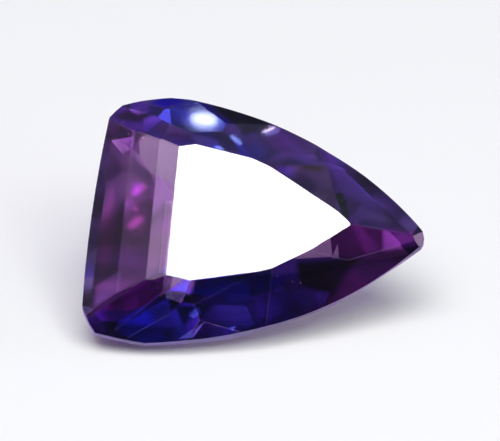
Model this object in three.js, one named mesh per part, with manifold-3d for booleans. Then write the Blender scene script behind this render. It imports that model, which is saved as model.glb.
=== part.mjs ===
// A loose tanzanite gem, cut as a shield: a stepped base edge, two bowed long sides and a blunt
// apex. It is one piece of crystal, and it lies on a facet of its underside with its table tipped up.
import * as THREE from 'three';
import { mergeVertices } from 'three/addons/utils/BufferGeometryUtils.js';
import Module from 'manifold-3d';

const wasm = await Module();
wasm.setup();

// Driving dimensions, in millimetres. In the stone's own frame x runs from the base edge to the
// apex, y to the far long side and z through the table, with z = 0 on the girdle's upper edge.
// Facets are placed round an upright axis, the middle's distance from the base edge.
const length = 16;
const crownHeight = 1.4;
const girdleThickness = 0.55;
const pavilionDepth = 6;
const middle = 6.5;

// Corners of the girdle, anticlockwise from above, each with the bow of the side that follows it
const apexNear = { x: length - 0.07, y: -0.22, bow: 0.11 };
const apexFar = { x: length - 0.07, y: 0.5, bow: 0.29 };
const flankFar = { x: 11.2, y: 4.12, bow: 0.46 };
const shoulderFar = { x: 3.4, y: 6.45, bow: 0.07 };
const cornerFar = { x: 1.12, y: 5.86, bow: 0.03 };
const baseFar = { x: 0.52, y: 5.12, bow: 0.18 };
const baseNear = { x: -0.1, y: -4.5, bow: 0.08 };
const cornerNear = { x: 0.6, y: -5.82, bow: 0.06 };
const shoulderNear = { x: 3, y: -6.17, bow: 1.31 };
const girdle = [
  apexNear, apexFar, flankFar, shoulderFar, cornerFar,
  baseFar, baseNear, cornerNear, shoulderNear,
];
const stripLength = 0.45;

// The pavilion facet that the stone lies on
const restAzimuth = -85;
const restSlope = 41;

const toRadians = THREE.MathUtils.degToRad;

// Points along a side that swells out by its bow, from its first corner up to the next
function bowedSide(from, to) {
  const start = new THREE.Vector2(from.x, from.y);
  const chord = new THREE.Vector2(to.x, to.y).sub(start);
  const outward = new THREE.Vector2(chord.y, -chord.x).normalize();
  const steps = Math.max(1, Math.round(chord.length() / stripLength));
  return Array.from({ length: steps }, (_, step) => {
    const along = step / steps;
    const swell = 4 * from.bow * along * (1 - along);
    return start.clone().addScaledVector(chord, along).addScaledVector(outward, swell);
  });
}

function girdleOutline() {
  return new THREE.Shape(
    girdle.flatMap((corner, index) => bowedSide(corner, girdle[(index + 1) % girdle.length])),
  );
}

// The rough block that the facets are ground from: the girdle's outline, as tall as the stone
function preformGeometry() {
  const below = girdleThickness + pavilionDepth;
  const geometry = new THREE.ExtrudeGeometry(girdleOutline(), {
    depth: below + crownHeight,
    bevelEnabled: false,
  });
  return geometry.translate(0, 0, -below);
}

// A facet's plane. Azimuth is the way it faces, anticlockwise from the apex's direction, slope its
// angle to the girdle and reach how far from the stone's middle it crosses the given height. Side
// is 1 on the crown and -1 on the pavilion.
function facetPlane({ azimuth, slope, reach }, height, side) {
  const facing = toRadians(azimuth);
  const lean = toRadians(slope);
  return {
    point: new THREE.Vector3(middle + reach * Math.cos(facing), reach * Math.sin(facing), height),
    normal: new THREE.Vector3(
      Math.sin(lean) * Math.cos(facing), Math.sin(lean) * Math.sin(facing), side * Math.cos(lean),
    ),
  };
}

// The crown's cutting diagram, from the girdle up to the table on each side
const crown = {
  base: [
    { azimuth: 178.5, slope: 25.5, reach: 6.35 },
    { azimuth: 178.5, slope: 21.5, reach: 6.65 },
    { azimuth: 178.4, slope: 11, reach: 9.82 },
  ],
  farCorner: [
    { azimuth: 122, slope: 25.5, reach: 7.65 },
    { azimuth: 120.5, slope: 23.5, reach: 7.8 },
    { azimuth: 101, slope: 17.7, reach: 8.22 },
  ],
  farGirdle: [
    { azimuth: 107.5, slope: 31.5, reach: 7.05 },
    { azimuth: 98.5, slope: 38, reach: 6.6 },
    { azimuth: 76.5, slope: 36.5, reach: 5.7 },
    { azimuth: 57.5, slope: 34, reach: 6.05 },
  ],
  farMain: [
    { azimuth: 102, slope: 29, reach: 6.95 },
    { azimuth: 85.5, slope: 29.5, reach: 6.15 },
    { azimuth: 68.5, slope: 29, reach: 5.75 },
    { azimuth: 49.5, slope: 28.8, reach: 6.5 },
  ],
  farTable: [
    { azimuth: 79.5, slope: 20.7, reach: 6.91 },
    { azimuth: 59, slope: 24.3, reach: 6.41 },
  ],
  nearCorner: [
    { azimuth: -137, slope: 21, reach: 8.2 },
    { azimuth: -116.5, slope: 23.5, reach: 7.5 },
    { azimuth: -99, slope: 18.2, reach: 7.83 },
  ],
  nearGirdle: [
    { azimuth: -101, slope: 27.5, reach: 6.7 },
    { azimuth: -89.5, slope: 35, reach: 5.95 },
    { azimuth: -76, slope: 38, reach: 5.4 },
    { azimuth: -55.5, slope: 37.5, reach: 5.5 },
  ],
  nearMain: [
    { azimuth: -85, slope: 33.5, reach: 5.8 },
    { azimuth: -70.5, slope: 32, reach: 5.35 },
    { azimuth: -59, slope: 34.8, reach: 5.34 },
    { azimuth: -52.5, slope: 31, reach: 5.95 },
  ],
  nearTable: [
    { azimuth: -78, slope: 20.5, reach: 6.73 },
  ],
  tableTip: [
    { azimuth: 34, slope: 14, reach: 10.57 },
  ],
  tip: [
    { azimuth: -13, slope: 42, reach: 9.1 },
  ],
};

// The pavilion's rows, from the girdle down: each one's slope, how far in from the girdle it starts
// and the ways its facets face
const pavilion = [
  { slope: 58, inset: 0, azimuths: [177, 140, 98, 82, 67, 52, -52, -67, -82, -98, -152] },
  { slope: restSlope, inset: 0.8, azimuths: [177, 130, 85, 55, -55, restAzimuth, -135] },
  { slope: 30, inset: 4.2, azimuths: [177, 82, 55, -55, -82] },
];
const girdleBite = 0.06;

// How far the girdle reaches from the stone's middle in a direction
function girdleReach(azimuth) {
  const facing = toRadians(azimuth);
  return Math.max(...girdleOutline().getPoints().map(
    ({ x, y }) => (x - middle) * Math.cos(facing) + y * Math.sin(facing),
  ));
}

// How deep below the girdle's lower edge a row starts, at its inset
function rowDepth(index) {
  if (index === 0) return 0;
  const above = pavilion[index - 1];
  const run = pavilion[index].inset - above.inset;
  return rowDepth(index - 1) + run * Math.tan(toRadians(above.slope));
}

function facetPlanes() {
  const crownPlanes = Object.values(crown).flat().map((facet) => facetPlane(facet, 0, 1));
  const pavilionPlanes = pavilion.flatMap(({ slope, inset, azimuths }, row) => azimuths.map((azimuth) => {
    const reach = girdleReach(azimuth) - girdleBite - inset;
    return facetPlane({ azimuth, slope, reach }, -girdleThickness - rowDepth(row), -1);
  }));
  return [...crownPlanes, ...pavilionPlanes];
}

// A manifold solid from a closed geometry, with its shared corners merged
const mergeDistance = 1e-4;
function solidFrom(geometry) {
  geometry.deleteAttribute('normal');
  geometry.deleteAttribute('uv');
  const merged = mergeVertices(geometry, mergeDistance);
  return new wasm.Manifold(new wasm.Mesh({
    numProp: 3,
    vertProperties: new Float32Array(merged.attributes.position.array),
    triVerts: new Uint32Array(merged.index.array),
  }));
}

// The lap that grinds a facet: a block whose face lies in the facet's plane
const lapSize = 4 * length;
function lap({ point, normal }) {
  const block = new THREE.BoxGeometry(lapSize, lapSize, lapSize).translate(0, 0, lapSize / 2);
  const turn = new THREE.Quaternion().setFromUnitVectors(new THREE.Vector3(0, 0, 1), normal);
  return block.applyQuaternion(turn).translate(point.x, point.y, point.z);
}

function cutStone() {
  const stone = facetPlanes().reduce(
    (solid, plane) => solid.subtract(solidFrom(lap(plane))),
    solidFrom(preformGeometry()),
  );
  const { vertProperties, triVerts } = stone.getMesh();
  const shared = new THREE.BufferGeometry();
  shared.setAttribute('position', new THREE.BufferAttribute(vertProperties, 3));
  shared.setIndex(new THREE.BufferAttribute(triVerts, 1));
  const geometry = shared.toNonIndexed();
  geometry.computeVertexNormals();
  return geometry;
}

// A deep violet blue, polished
const tanzanite = new THREE.MeshStandardMaterial({
  color: 0x2a1a78,
  roughness: 0.04,
  metalness: 0,
  flatShading: true,
});

const stone = new THREE.Mesh(cutStone(), tanzanite);
stone.name = 'tanzanite';

// Tipped about the level line of the facet that it lies on, so that this facet faces straight down
const tipped = new THREE.Group();
tipped.add(stone);
tipped.quaternion.setFromAxisAngle(
  new THREE.Vector3(-Math.sin(toRadians(restAzimuth)), Math.cos(toRadians(restAzimuth)), 0),
  toRadians(restSlope),
);

// Turned so that the table faces -Y, and set down with the middle of its box over the origin
const gem = new THREE.Group();
gem.add(tipped);
gem.rotation.z = toRadians(-90 - restAzimuth);
const box = new THREE.Box3().setFromObject(gem, true);
const centre = box.getCenter(new THREE.Vector3());
gem.position.set(-centre.x, -centre.y, -box.min.z);

export default gem;
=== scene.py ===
"""A loose tanzanite gem in a shield cut, lying on a pale surface under soft studio light."""
import math

import bmesh
import bpy
import numpy as np
from mathutils import Matrix, Vector


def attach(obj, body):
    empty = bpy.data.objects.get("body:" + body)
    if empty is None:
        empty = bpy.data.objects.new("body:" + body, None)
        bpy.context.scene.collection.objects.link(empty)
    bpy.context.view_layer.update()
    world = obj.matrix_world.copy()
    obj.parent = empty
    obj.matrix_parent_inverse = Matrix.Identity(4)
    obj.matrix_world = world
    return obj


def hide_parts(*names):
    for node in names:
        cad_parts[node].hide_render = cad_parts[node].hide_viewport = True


MM = 0.001

# The view: where the camera stands, the width that it sees at the stone, and its lens and sensor in mm
CAMERA_AZIMUTH = -1.95
CAMERA_ELEVATION = 29.06
CAMERA_ROLL = 0.3
AIM = Vector((-0.1, 0.07, 4.57)) * MM
VIEW_WIDTH = 24.04 * MM
LENS = 900
SENSOR = 36

# The stone's own frame, as in its cutting diagram: x from the base edge to the apex and z through the
# table. It lies on the facet that is named here, with this frame's origin above the floor.
REST_AZIMUTH = -85
REST_SLOPE = 41
STONE_ORIGIN = Vector((-7.75, -0.208, 5.021)) * MM

# Wear: how wide the facets' edges are rubbed, and the angle from which two facets make an edge
EDGE_WEAR = 0.012 * MM
EDGE_ANGLE = math.radians(4)

# The CAD mesh's triangles join into whole facets: corners nearer than this and angles flatter than this go
SHORTEST_EDGE = 0.04 * MM
FLAT_ANGLE = math.radians(0.8)

# Roughness of the polished facets, the rubbed edges and the ground girdle, and how much paler a rubbed edge is
# painted, partly its wear and partly a painted highlight along the ridge
POLISH = 0.1
EDGE_ROUGHNESS = 0.2
GIRDLE_ROUGHNESS = 0.4
EDGE_PALENESS_AND_SHEEN = 0.2

# The size of the cells that a crown facet's colour is laid in, and the stone's span along x and y, in mm
GRID = 0.12
SPAN = ((-0.2, 16.1), (-6.4, 6.7))

# A cut that passes this near to a corner goes through it
CUT_PRECISION = 1e-8

# How far a corner is drawn to the middle of its face before it is judged, so that crisp outlines fall
# between faces
INWARD = 0.1

# The rise of a face's normal: a smaller one is the girdle's and a larger one the table's
UPRIGHT = 0.02
LEVEL = 0.999

# Where the girdle turns from lavender to mauve towards the apex, in mm from the base edge, and how far
# its normal points back where it belongs to the base
APEX_GIRDLE = 10
BASE_FACING = -0.9

# The even grey that is seen behind everything
BACKDROP = (0.82, 0.83, 0.84)

# How far the lamps that make glints stand from the stone, in mm; a near one makes a crisper glint
NEAR = 3
MIDWAY = 7
FAR = 12

# The surface below, and the gap that keeps the resting facet just off it
FLOOR_SIZE = 0.6
FLOOR_GAP = 0.005 * MM

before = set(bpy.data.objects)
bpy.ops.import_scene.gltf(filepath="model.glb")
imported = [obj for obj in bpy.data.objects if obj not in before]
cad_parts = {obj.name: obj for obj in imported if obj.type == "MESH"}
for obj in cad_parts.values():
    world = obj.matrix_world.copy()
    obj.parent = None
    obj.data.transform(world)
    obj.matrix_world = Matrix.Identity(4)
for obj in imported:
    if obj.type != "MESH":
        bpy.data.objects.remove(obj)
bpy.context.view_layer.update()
cad_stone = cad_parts["tanzanite"]


def direction(azimuth, elevation):
    """The way from the stone towards an azimuth, 0 in front and 90 on the right, and a height in degrees."""
    turn = math.radians(azimuth)
    rise = math.radians(elevation)
    return Vector((math.sin(turn) * math.cos(rise), -math.cos(turn) * math.cos(rise), math.sin(rise)))


def stone_axes():
    """The turn from the stone's own frame to the way that it lies."""
    facing = math.radians(REST_AZIMUTH)
    level_line = Vector((-math.sin(facing), math.cos(facing), 0))
    tip = Matrix.Rotation(math.radians(REST_SLOPE), 3, level_line)
    turn = Matrix.Rotation(math.radians(-90 - REST_AZIMUTH), 3, "Z")
    return turn @ tip


def add_camera():
    data = bpy.data.cameras.new("camera")
    data.lens = LENS
    data.sensor_width = SENSOR
    data.clip_start = 1 * MM
    data.clip_end = 10
    camera = bpy.data.objects.new("camera", data)
    bpy.context.scene.collection.objects.link(camera)
    distance = VIEW_WIDTH * LENS / SENSOR
    back = direction(CAMERA_AZIMUTH, CAMERA_ELEVATION)
    upright = back.to_track_quat("Z", "Y").to_matrix().to_4x4()
    roll = Matrix.Rotation(math.radians(CAMERA_ROLL), 4, "Z")
    camera.matrix_world = Matrix.Translation(AIM + back * distance) @ upright @ roll
    bpy.context.scene.camera = camera


def new_material(name):
    material = bpy.data.materials.new(name)
    material.use_nodes = True
    shader = material.node_tree.nodes["Principled BSDF"]
    return material, shader


def add_floor():
    bpy.ops.mesh.primitive_plane_add(size=FLOOR_SIZE, location=(0, 0, -FLOOR_GAP))
    floor = bpy.context.object
    floor.name = "floor"
    material, shader = new_material("pale surface")
    shader.inputs["Base Color"].default_value = (0.9, 0.95, 0.88, 1)
    shader.inputs["Roughness"].default_value = 0.9
    floor.data.materials.append(material)
    floor.visible_glossy = False


def add_softbox(name, azimuth, elevation, distance, size, radiance):
    """A softbox that faces the stone, with the brightness that a mirror would show."""
    data = bpy.data.lights.new(name, "AREA")
    data.shape = "RECTANGLE"
    data.size, data.size_y = size
    data.energy = radiance * math.pi * size[0] * size[1]
    light = bpy.data.objects.new(name, data)
    bpy.context.scene.collection.objects.link(light)
    towards = direction(azimuth, elevation)
    light.location = AIM + towards * distance
    light.rotation_euler = towards.to_track_quat("Z", "Y").to_euler()
    light.visible_camera = False
    return light


def facet_normal(azimuth, slope):
    facing = math.radians(azimuth)
    lean = math.radians(slope)
    return Vector((math.sin(lean) * math.cos(facing), math.sin(lean) * math.sin(facing), math.cos(lean)))


def add_glint(name, place, facet, distance, size, turn, radiance, colour):
    """A lamp that is mirrored as one soft glint at a place on a facet, both in the stone's own frame."""
    axes = stone_axes()
    point = STONE_ORIGIN + axes @ Vector(place) * MM
    normal = axes @ facet_normal(*facet)
    view = direction(CAMERA_AZIMUTH, CAMERA_ELEVATION)
    towards = 2 * normal.dot(view) * normal - view
    data = bpy.data.lights.new(name, "AREA")
    data.shape = "ELLIPSE"
    data.size, data.size_y = (side * MM for side in size)
    data.energy = radiance * math.pi * math.pi / 4 * data.size * data.size_y
    data.color = colour
    light = bpy.data.objects.new(name, data)
    bpy.context.scene.collection.objects.link(light)
    light.location = point + towards * distance * MM
    facing = towards.to_track_quat("Z", "Y").to_matrix()
    light.rotation_euler = (facing @ Matrix.Rotation(math.radians(turn), 3, "Z")).to_euler()
    light.visible_camera = False
    light.visible_transmission = False
    light.visible_diffuse = False


def add_glow(tree, way, below, azimuth, elevation, inner, outer, colour):
    """One soft glow on top of the wall's colour, which fades between two angles from its middle."""
    nodes, links = tree.nodes, tree.links
    facing = nodes.new("ShaderNodeVectorMath")
    facing.operation = "DOT_PRODUCT"
    facing.inputs[1].default_value = direction(azimuth, elevation)
    links.new(way, facing.inputs[0])
    fade = nodes.new("ShaderNodeMapRange")
    fade.interpolation_type = "SMOOTHSTEP"
    fade.inputs["From Min"].default_value = math.cos(math.radians(outer))
    fade.inputs["From Max"].default_value = math.cos(math.radians(inner))
    links.new(facing.outputs["Value"], fade.inputs["Value"])
    add = nodes.new("ShaderNodeMix")
    add.data_type = "RGBA"
    add.blend_type = "ADD"
    add.clamp_result = False
    links.new(fade.outputs["Result"], add.inputs["Factor"])
    links.new(below, add.inputs["A"])
    add.inputs["B"].default_value = (*colour, 1)
    return add.outputs["Result"]


def add_world(ambient, glows):
    """An even studio wall with soft glows, and a plain grey behind what the camera sees."""
    world = bpy.data.worlds.new("studio")
    bpy.context.scene.world = world
    world.use_nodes = True
    nodes, links = world.node_tree.nodes, world.node_tree.links
    way = nodes.new("ShaderNodeTexCoord")
    total = nodes.new("ShaderNodeRGB")
    total.outputs["Color"].default_value = (*ambient, 1)
    colour_so_far = total.outputs["Color"]
    for glow in glows:
        colour_so_far = add_glow(world.node_tree, way.outputs["Generated"], colour_so_far, *glow)
    path = nodes.new("ShaderNodeLightPath")
    backdrop = nodes.new("ShaderNodeMix")
    backdrop.data_type = "RGBA"
    links.new(path.outputs["Is Camera Ray"], backdrop.inputs["Factor"])
    links.new(colour_so_far, backdrop.inputs["A"])
    backdrop.inputs["B"].default_value = (*BACKDROP, 1)
    links.new(backdrop.outputs["Result"], nodes["Background"].inputs["Color"])


def gem_material():
    material, shader = new_material("tanzanite")
    shader.inputs["IOR"].default_value = 1.695
    shader.inputs["Transmission Weight"].default_value = 1
    nodes, links = material.node_tree.nodes, material.node_tree.links
    hue = nodes.new("ShaderNodeAttribute")
    hue.attribute_name = "hue"
    links.new(hue.outputs["Color"], shader.inputs["Base Color"])
    polish = nodes.new("ShaderNodeAttribute")
    polish.attribute_name = "roughness"
    links.new(polish.outputs["Fac"], shader.inputs["Roughness"])
    absorption = nodes.new("ShaderNodeVolumeAbsorption")
    absorption.inputs["Color"].default_value = (0.7, 0.45, 0.85, 1)
    absorption.inputs["Density"].default_value = 80
    links.new(absorption.outputs["Volume"], nodes["Material Output"].inputs["Volume"])
    return material


# Colours that the crown lets through. Tanzanite shows blue, violet and wine along its three axes, so each facet
# has its own, and the facets of the underside that are seen in it make patches of others. Each facet's colour
# is partly the stone's own and partly painted light and shade, and the patches are painted reflections.
CLEAR = (1, 1, 1)
BLACK = (0.01, 0.02, 0.02)
INK = (0.01, 0.003, 0.02)
DARK_WINE = (0.05, 0.01, 0.08)
DARK_PLUM = (0.08, 0.01, 0.1)
PLUM_BLACK = (0.09, 0.01, 0.12)
MIDNIGHT = (0.01, 0.005, 0.06)
NIGHT = (0.015, 0.01, 0.11)
DARK_VIOLET = (0.06, 0.02, 0.24)
DEEP_VIOLET = (0.08, 0.02, 0.3)
DEEP_INDIGO = (0.03, 0.02, 0.24)
INDIGO = (0.1, 0.06, 1)
NAVY = (0.05, 0.08, 0.28)
DEEP_BLUE = (0.04, 0.1, 0.85)
AZURE = (0.16, 0.24, 1)
SKY = (0.35, 0.42, 1)
TEAL = (0.07, 0.14, 0.16)
DARK_GREEN = (0.02, 0.09, 0.01)
OLIVE = (0.18, 0.28, 0.05)
DUSK = (0.16, 0.14, 0.32)
GREY = (0.28, 0.28, 0.3)
STEEL = (0.37, 0.45, 0.55)
DIM_SLATE = (0.12, 0.1, 0.22)
LILAC = (0.36, 0.32, 0.8)
DIM_LILAC = (0.22, 0.19, 0.42)
VIOLET = (0.36, 0.14, 0.84)
PALE_VIOLET = (0.95, 0.75, 1)
LAVENDER = (0.7, 0.65, 0.9)
FAINT_ROSE = (1, 0.85, 0.75)
DULL_PLUM = (0.27, 0.13, 0.3)
ROYAL_BLUE = (0.05, 0.035, 0.38)
DARK_ROYAL = (0.035, 0.02, 0.25)
DIM_PLUM = (0.19, 0.09, 0.25)
PLUM = (0.63, 0.17, 0.67)
ROSE = (0.45, 0.11, 0.4)
WINE = (0.25, 0.01, 0.33)
DARK_MAGENTA = (0.19, 0.02, 0.25)
DIM_MAGENTA = (0.45, 0.08, 0.6)
MAGENTA = (0.7, 0.12, 0.89)
HOT_PINK = (1, 0.2, 1)
PINK = (0.95, 0.5, 1)
PALE_PINK = (1, 0.7, 1)
DIM_MAUVE = (0.45, 0.26, 0.46)
MAUVE = (0.59, 0.25, 0.64)
PALE_MAUVE = (0.58, 0.36, 0.59)

# The crown's facets from the cutting diagram: azimuth, slope and colour, which is partly the stone's own and
# partly painted light and shade
FACETS = [
    (178.5, 25.5, DIM_PLUM), (178.5, 21.5, PLUM), (178.4, 11, MAUVE),
    (122, 25.5, VIOLET), (120.5, 23.5, DARK_VIOLET), (101, 17.7, DUSK),
    (107.5, 31.5, DARK_VIOLET), (98.5, 38, LILAC), (76.5, 36.5, NAVY), (57.5, 34, LILAC),
    (102, 29, INDIGO), (85.5, 29.5, DEEP_BLUE), (68.5, 29, DIM_LILAC), (49.5, 28.8, DIM_LILAC),
    (79.5, 20.7, STEEL), (59, 24.3, GREY),
    (-137, 21, WINE), (-116.5, 23.5, DEEP_VIOLET), (-99, 18.2, PALE_VIOLET),
    (-101, 27.5, DEEP_INDIGO), (-89.5, 35, DEEP_INDIGO), (-76, 38, NIGHT), (-55.5, 37.5, DARK_WINE),
    (-85, 33.5, ROYAL_BLUE), (-70.5, 32, NIGHT), (-59, 34.8, DARK_VIOLET), (-52.5, 31, PLUM_BLACK),
    (-78, 20.5, MIDNIGHT), (34, 14, MAUVE), (-13, 42, MAUVE), (0, 0, CLEAR),
]

# How soft a patch's outline is, in mm; a crisp one is cut into the facets that it lies on
CRISP = 0
SOFT = 0.1
SOFTER = 0.2
SOFTEST = 0.3

# Painted reflections of the underside's facets, as light and dark patches in the facets: colour, softness, and
# corners in the stone's own frame in mm
PAINTED_LIGHT_PATCHES = [
    # The base steps, from the girdle up to the table
    (DIM_SLATE, SOFT, [(-0.3, -2.6), (0.5, -3.5), (0.4, -5), (-0.3, -4.8)]),
    (DIM_SLATE, SOFTER, [(-0.3, 3.5), (0.6, 3.5), (0.6, -3.5), (-0.3, -3.5)]),
    (ROSE, SOFTER, [(0.9, 1.6), (1.3, -1.3), (0.8, -3), (0.5, -2.3), (0.5, 0.1)]),
    (PINK, SOFT, [(0.5, -3.6), (1.6, -2.9), (1.6, -3.9), (0.5, -4.6)]),
    (DARK_WINE, SOFT, [(0.6, 5), (1.8, 4.2), (1.4, 3.9), (0.2, 4.1)]),
    (PINK, CRISP, [(0.7, 3.9), (1.8, 4), (1.8, 3.5), (1.3, 3.1)]),
    (DULL_PLUM, SOFTER, [(1.3, 3.4), (2.9, 2), (2.8, 0.9), (1.4, 0.7)]),
    (MAGENTA, SOFTER, [(1.9, 1.6), (2.3, 1.5), (2.3, 0.9), (1.9, 0.9)]),
    (HOT_PINK, SOFTER, [(1.8, 0.4), (2.7, 0.3), (2.6, -1.2), (1.9, -1)]),
    (PALE_MAUVE, CRISP, [(1.7, 3), (2.3, 4.1), (4.2, 3.6), (3.9, 1.5), (2.9, 1.9)]),
    (PALE_PINK, CRISP, [(3.5, 0.6), (4, 0.6), (4, -3.3), (3.45, -3.3)]),
    (DARK_WINE, SOFT, [(1.8, 4.3), (2.5, 4.1), (2.2, 4), (1.8, 3.5)]),
    (DIM_PLUM, SOFTER, [(1.8, 3.2), (2.3, 2.4), (2.9, 1.7), (2.6, 1.5), (1.8, 2.2)]),
    # The far corner and the hexagon beside it
    (DARK_WINE, SOFTER, [(0.7, 5.3), (1.5, 5.6), (2.6, 5.2), (2, 4.8), (1, 4.9)]),
    (INDIGO, SOFT, [(2.3, 6), (3.5, 6.8), (4, 6.3), (3.2, 5.7)]),
    (DIM_PLUM, SOFTER, [(2.2, 4.1), (3.2, 4.7), (4.5, 4.1), (4.2, 3.4)]),
    (AZURE, SOFT, [(3.8, 4.9), (4, 5.6), (4.8, 6.4), (6.1, 5.1), (6, 4.7), (5.2, 4.3)]),
    (NAVY, SOFT, [(3.4, 4.8), (5.2, 4.3), (5.6, 4.4), (6.3, 4), (4.7, 4.1)]),
    # The far long side
    (BLACK, CRISP, [(4.9, 6.8), (8.1, 5.8), (8.2, 5), (6.6, 5)]),
    (DARK_GREEN, SOFT, [(6.6, 5.2), (7.9, 5.2), (7.6, 4.7), (7, 4.4)]),
    (TEAL, SOFT, [(5.4, 4.4), (6.1, 4.6), (7, 3.3), (6, 3.5)]),
    (SKY, CRISP, [(6.4, 4.4), (6.7, 4.1), (6.9, 3.7), (6.8, 3.5)]),
    (AZURE, SOFT, [(6.6, 4), (6.9, 3.9), (7.6, 3), (7, 3.2)]),
    (SKY, CRISP, [(5.6, 3.7), (6.1, 3.6), (5.9, 3.2), (5.4, 3.4)]),
    (LILAC, SOFTEST, [(8.6, 4.9), (9.2, 4.7), (10.5, 3.5), (10, 3.1)]),
    (OLIVE, SOFT, [(9.9, 3.1), (10.8, 3.2), (11, 2.8), (10, 2.8)]),
    (LILAC, SOFT, [(8.7, 2.7), (9.5, 2.9), (9.7, 2.1), (9.3, 2.2)]),
    # The far side of the apex
    (LILAC, SOFTER, [(11.1, 3.5), (12.3, 3.2), (14.1, 1.5), (14, 1), (12.1, 1.7)]),
    (DARK_GREEN, SOFT, [(11.5, 1.7), (12, 1.8), (12.4, 0.4), (12.1, 0.3)]),
    # The near side of the apex
    (DIM_MAUVE, CRISP, [(9.9, -1.9), (10.8, -0.8), (11.5, -0.6), (11.7, -1.5)]),
    (DIM_MAUVE, CRISP, [(11.65, -1.6), (11.9, -0.9), (12, -1.5)]),
    (DARK_MAGENTA, SOFTER, [(12.5, 0.1), (12.8, 0.2), (13.9, -0.8), (13.3, -1.2)]),
    (DIM_MAGENTA, SOFT, [(14, 0.3), (15.6, 0.3), (15.6, -0.3), (14.1, -0.8)]),
    (DARK_PLUM, CRISP, [(12.7, -1.9), (13.6, -2.2), (12.4, -3.6), (11.5, -3.8)]),
    (INK, SOFTER, [(10, -2), (12, -1.5), (12.9, -1.4), (11.8, -3.1), (10.2, -3)]),
    # The near corner and the near long side
    (WINE, CRISP, [(0.9, -4.8), (2, -3.7), (3.7, -3), (3.7, -4), (3.1, -4.5), (2.2, -4.8)]),
    (FAINT_ROSE, SOFT, [(4, -3.3), (5.2, -3.2), (5, -4), (4.1, -4)]),
    (NIGHT, CRISP, [(3.1, -4.5), (3.8, -4), (3.9, -4.2), (3.3, -4.5)]),
    (AZURE, CRISP, [(4.9, -4.9), (5.5, -4.5), (5.6, -4.8), (5.3, -5)]),
    (SKY, CRISP, [(5.8, -5.1), (5.3, -5.8), (4.6, -5.9)]),
    (MIDNIGHT, SOFT, [(5.4, -4.9), (5.9, -5.1), (7, -5.4), (5.4, -5.8), (5.8, -5.1)]),
    (AZURE, CRISP, [(7, -5.2), (7.3, -5.1), (7.2, -5.3)]),
    (DARK_ROYAL, SOFTEST, [(8.2, -3.4), (9.8, -3.2), (10.2, -5), (8.4, -5.4)]),
    (MIDNIGHT, SOFTER, [(1.2, -5.3), (4.3, -5.5), (4.5, -6.6), (1.2, -6.4)]),
]

# Painted highlights of small pits in the surface that catch the light: clear spots at places in the stone's own
# frame in mm
PAINTED_PIT_GLINTS = [(1.5, 4.15), (2.2, 3.9), (0.5, 2.3), (9.1, -2.75), (9.85, -2.85), (10.25, -2.85)]
SPECK_SIZE = 0.05
SPECK_OUTLINE = [(0, 1), (-0.8, -0.6), (0.9, -0.5)]
PAINTED_LIGHT_PATCHES += [
    (CLEAR, CRISP, [(x + SPECK_SIZE * across, y + SPECK_SIZE * up) for across, up in SPECK_OUTLINE])
    for x, y in PAINTED_PIT_GLINTS
]

# The lamps that make soft glints in facets: the place and the facet's azimuth and slope in the stone's own
# frame, how far the lamp stands, its size in mm, turn, brightness and colour
GLINTS = {
    "hexagon glint": ((5.05, 5.5, 0.6), (85.5, 29.5), FAR, (1.3, 0.55), 10, 20, (0.85, 0.92, 1)),
    "hexagon halo": ((5.1, 5.35, 0.65), (85.5, 29.5), FAR, (1.9, 0.9), 10, 6, (0.1, 0.2, 1)),
    "triangle glint": ((3.2, 5.2, 0.65), (102, 29), FAR, (2.6, 2.6), 0, 6, (0.12, 0.13, 1)),
    "wedge glint": ((8.25, 5.1, 0.25), (68.5, 29), NEAR, (0.7, 0.12), 65, 16, (0.85, 0.7, 1)),
    "wedge halo": ((8.4, 4.95, 0.25), (68.5, 29), NEAR, (0.8, 0.3), 60, 4, (0.3, 0.25, 1)),
    "streak glint": ((6.65, 3.95, 1.0), (68.5, 29), NEAR, (0.7, 0.2), 5, 10, (0.25, 0.35, 1)),
    "table edge glint": ((5.9, 3.45, 1.35), (79.5, 20.7), NEAR, (0.45, 0.15), 10, 12, (0.3, 0.4, 1)),
    "upper pink glint": ((2.15, 1.25, 0.88), (178.5, 21.5), MIDWAY, (0.3, 0.8), 0, 5, (1, 0.1, 1)),
    "middle pink glint": ((2.0, 0.3, 0.88), (178.5, 21.5), MIDWAY, (0.2, 0.2), 0, 4, (1, 0.1, 0.9)),
    "lower pink glint": ((2.1, -0.45, 0.88), (178.5, 21.5), MIDWAY, (0.35, 0.9), 0, 5, (1, 0.12, 0.9)),
    "step light": ((3.4, -1.6, 1.2), (178.4, 11), FAR, (3.8, 1.6), 90, 1.5, (1, 0.4, 0.95)),
    "near corner sheen": ((4.55, -3.6, 1.2), (-99, 18.2), FAR, (1.5, 0.9), 0, 2, (0.6, 0.3, 1)),
    "apex glint": ((15.2, -0.1, 0.35), (-52.5, 31), FAR, (1.2, 0.8), 0, 2.2, (0.7, 0.1, 1)),
}


def facet_hue(normal):
    """The colour of the crown facet that faces the nearest way to a normal in the stone's own frame."""
    return max(FACETS, key=lambda facet: normal.dot(facet_normal(*facet[:2])))[2]


def patch_share(corners, softness, x, y):
    """How much of a patch's colour shows at places on the crown: 1 inside its outline, 0 well outside."""
    inside = np.zeros(len(x), bool)
    gap = np.full(len(x), np.inf)
    for (x0, y0), (x1, y1) in zip(corners, corners[1:] + corners[:1]):
        crosses = (y0 > y) != (y1 > y)
        rise = y1 - y0 if y1 != y0 else 1
        inside ^= crosses & (x < (x1 - x0) * (y - y0) / rise + x0)
        along = np.clip(((x - x0) * (x1 - x0) + (y - y0) * (y1 - y0)) / ((x1 - x0) ** 2 + (y1 - y0) ** 2), 0, 1)
        gap = np.minimum(gap, np.hypot(x - x0 - along * (x1 - x0), y - y0 - along * (y1 - y0)))
    if softness == CRISP:
        return inside.astype(float)
    depth = np.clip(np.where(inside, gap, -gap) / (2 * softness) + 0.5, 0, 1)
    return depth * depth * (3 - 2 * depth)


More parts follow.
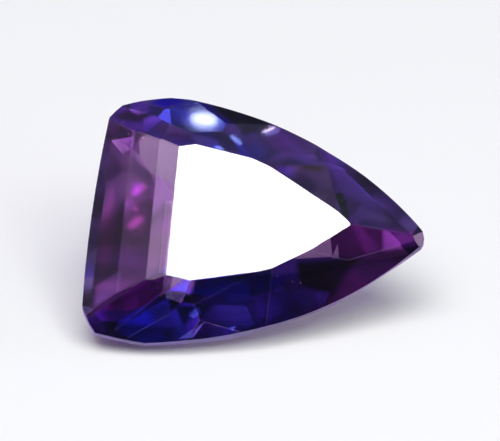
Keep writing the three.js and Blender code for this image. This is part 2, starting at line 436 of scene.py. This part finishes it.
def girdle_hue(normal, distance):
    """The colour of the girdle where it faces a normal, at a distance in mm from the base edge."""
    if distance > APEX_GIRDLE:
        return PALE_MAUVE
    return DIM_SLATE if normal.x < BASE_FACING else LAVENDER


def crown_faces(mesh, axes):
    """The faces of the crown's facets, without the table."""
    to_stone = axes.inverted()
    return [face for face in mesh.faces if UPRIGHT < (to_stone @ face.normal).z < LEVEL]


def cut_faces(mesh, faces, place, across, axes):
    """Cuts faces along the upright plane through a place, in the stone's own frame, without moving them."""
    geometry = {part for face in faces for part in (face, *face.edges, *face.verts)}
    bmesh.ops.bisect_plane(
        mesh, geom=list(geometry), dist=CUT_PRECISION,
        plane_co=STONE_ORIGIN + axes @ place * MM, plane_no=axes @ across,
    )


def cut_grid(mesh, axes):
    """Cuts the crown's facets into small cells, so that their colours can change within a facet."""
    for across, (low, high) in zip((Vector((1, 0, 0)), Vector((0, 1, 0))), SPAN):
        for step in range(round((high - low) / GRID)):
            cut_faces(mesh, crown_faces(mesh, axes), across * (low + GRID * step), across, axes)


def is_beside(face, start, end, to_stone):
    """Whether a face lies beside the line between two places in the stone's own frame."""
    along = (end - start).normalized()
    place = to_stone @ (face.verts[0].co - STONE_ORIGIN) / MM - start
    aside = abs(along.x * place.y - along.y * place.x)
    ahead = along.x * place.x + along.y * place.y
    reach = 2 * GRID
    return aside < reach and -reach < ahead < (end - start).length + reach


def cut_outlines(mesh, axes):
    """Cuts the crown's facets along the outlines of the crisp patches."""
    to_stone = axes.inverted()
    crisp_patches = [corners for _, softness, corners in PAINTED_LIGHT_PATCHES if softness == CRISP]
    for corners in crisp_patches:
        for start, end in zip(corners, corners[1:] + corners[:1]):
            start, end = Vector((*start, 0)), Vector((*end, 0))
            along = (end - start).normalized()
            faces = [face for face in crown_faces(mesh, axes) if is_beside(face, start, end, to_stone)]
            cut_faces(mesh, faces, start, Vector((-along.y, along.x, 0)), axes)


def corner_places(data, axes):
    """Where each corner of each face lies in the stone's own frame, drawn a little into its face."""
    corner_vertex = np.empty(len(data.loops), np.int32)
    data.loops.foreach_get("vertex_index", corner_vertex)
    places = np.empty(3 * len(data.vertices))
    data.vertices.foreach_get("co", places)
    places = (places.reshape(-1, 3) - np.array(STONE_ORIGIN)) @ np.array(axes) / MM
    corners = places[corner_vertex, :2]
    centres = np.empty_like(corners)
    for face in data.polygons:
        loops = slice(face.loop_start, face.loop_start + face.loop_total)
        centres[loops] = corners[loops].mean(axis=0)
    return corners + (centres - corners) * INWARD


def paint(data, axes):
    """Gives each corner of each face the colour that the stone lets through there, with painted light, shade
    and reflections laid in.
    """
    x, y = corner_places(data, axes).T
    hues = np.ones((len(x), 3))
    crown = np.zeros(len(x), bool)
    worn = np.zeros(len(x), bool)
    roughness = data.attributes["roughness"].data
    to_stone = axes.inverted()
    for face in data.polygons:
        normal = to_stone @ face.normal
        loops = slice(face.loop_start, face.loop_start + face.loop_total)
        if abs(normal.z) < UPRIGHT:
            hues[loops] = girdle_hue(normal, x[face.loop_start])
        elif normal.z > 0:
            hues[loops] = facet_hue(normal)
            crown[loops] = normal.z < LEVEL
        worn[loops] = math.isclose(roughness[face.index].value, EDGE_ROUGHNESS, rel_tol=0.01)
    # The painted reflections and highlights go over the facets' colours, on the crown only
    for hue, softness, corners in PAINTED_LIGHT_PATCHES:
        share = (patch_share(corners, softness, x, y) * crown)[:, None]
        hues += (np.array(hue) - hues) * share
    # Rubbed edges are painted paler: partly their wear and partly a painted highlight along the ridges
    hues[worn] += (1 - hues[worn]) * EDGE_PALENESS_AND_SHEEN
    # The shader takes the root of the colour at each crossing of the surface
    colours = np.ones((len(x), 4))
    colours[:, :3] = hues ** 2
    layer = data.attributes.new("hue", "FLOAT_COLOR", "CORNER")
    layer.data.foreach_set("color", colours.ravel())


def polish(mesh, axes):
    """Sets each facet's roughness; the girdle is ground but not polished."""
    roughness = mesh.faces.layers.float.new("roughness")
    to_stone = axes.inverted()
    for face in mesh.faces:
        face[roughness] = GIRDLE_ROUGHNESS if abs((to_stone @ face.normal).z) < UPRIGHT else POLISH


def rub_edges(mesh):
    """Rubs the edges between the facets down to narrow faces."""
    roughness = mesh.faces.layers.float["roughness"]
    edges = [edge for edge in mesh.edges if edge.calc_face_angle(0) > EDGE_ANGLE]
    worn = bmesh.ops.bevel(
        mesh, geom=edges, offset=EDGE_WEAR, segments=1, profile=0.5, affect="EDGES", clamp_overlap=True,
    )
    for face in worn["faces"]:
        face[roughness] = EDGE_ROUGHNESS


def dressed_mesh(axes):
    """The CAD stone's mesh with its facets whole again, rubbed edges, and cuts where its colours change."""
    mesh = bmesh.new()
    mesh.from_mesh(cad_stone.data)
    bmesh.ops.remove_doubles(mesh, verts=mesh.verts, dist=SHORTEST_EDGE)
    bmesh.ops.dissolve_limit(mesh, angle_limit=FLAT_ANGLE, verts=mesh.verts, edges=mesh.edges)
    polish(mesh, axes)
    rub_edges(mesh)
    cut_grid(mesh, axes)
    cut_outlines(mesh, axes)
    data = bpy.data.meshes.new("dressed stone")
    mesh.to_mesh(data)
    mesh.free()
    # Every face is flat, so the normals that came along with the CAD mesh are dropped
    carried = data.attributes.get("custom_normal")
    if carried:
        data.attributes.remove(carried)
    data.shade_flat()
    return data


def dress_stone():
    """The CAD stone with rubbed edges, and each facet's colour and polish."""
    axes = stone_axes()
    data = dressed_mesh(axes)
    paint(data, axes)
    piece = bpy.data.objects.new("dressed_stone", data)
    bpy.context.scene.collection.objects.link(piece)
    data.materials.append(gem_material())
    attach(piece, "root")
    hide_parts("tanzanite")


def set_light_paths():
    cycles = bpy.context.scene.cycles
    cycles.max_bounces = 24
    cycles.transmission_bounces = 24
    cycles.glossy_bounces = 16


add_camera()
add_floor()
add_world(
    ambient=(0.05, 0.05, 0.055),
    glows=[
        (-47, 65, 6, 24, (1.6, 1.35, 1.8)),
        (-80, 50, 10, 45, (0.25, 0.19, 0.3)),
        (170, 62, 14, 30, (0.17, 0.14, 0.4)),
        (135, 43, 8, 20, (0.1, 0.09, 0.16)),
        (85, 9, 9, 20, (3, 2.1, 3.4)),
        (180, -62, 25, 50, (0.8, 0.75, 1.2)),
    ],
)
floor_light = add_softbox(
    "floor light", azimuth=4.7, elevation=68.9, distance=0.4, size=(0.4, 0.4), radiance=3,
)
floor_light.visible_glossy = False
floor_light.visible_transmission = False
floor_fill = add_softbox(
    "floor fill", azimuth=40, elevation=40, distance=0.4, size=(0.2, 0.2), radiance=2,
)
floor_fill.visible_glossy = False
table_box = add_softbox(
    "table box", azimuth=4.7, elevation=68.9, distance=0.3, size=(0.12, 0.12), radiance=16,
)
table_box.visible_diffuse = False
table_box.visible_transmission = False
for glint_name, glint in GLINTS.items():
    add_glint(glint_name, *glint)
dress_stone()
set_light_paths()
bpy.context.scene.view_settings.view_transform = "Standard"
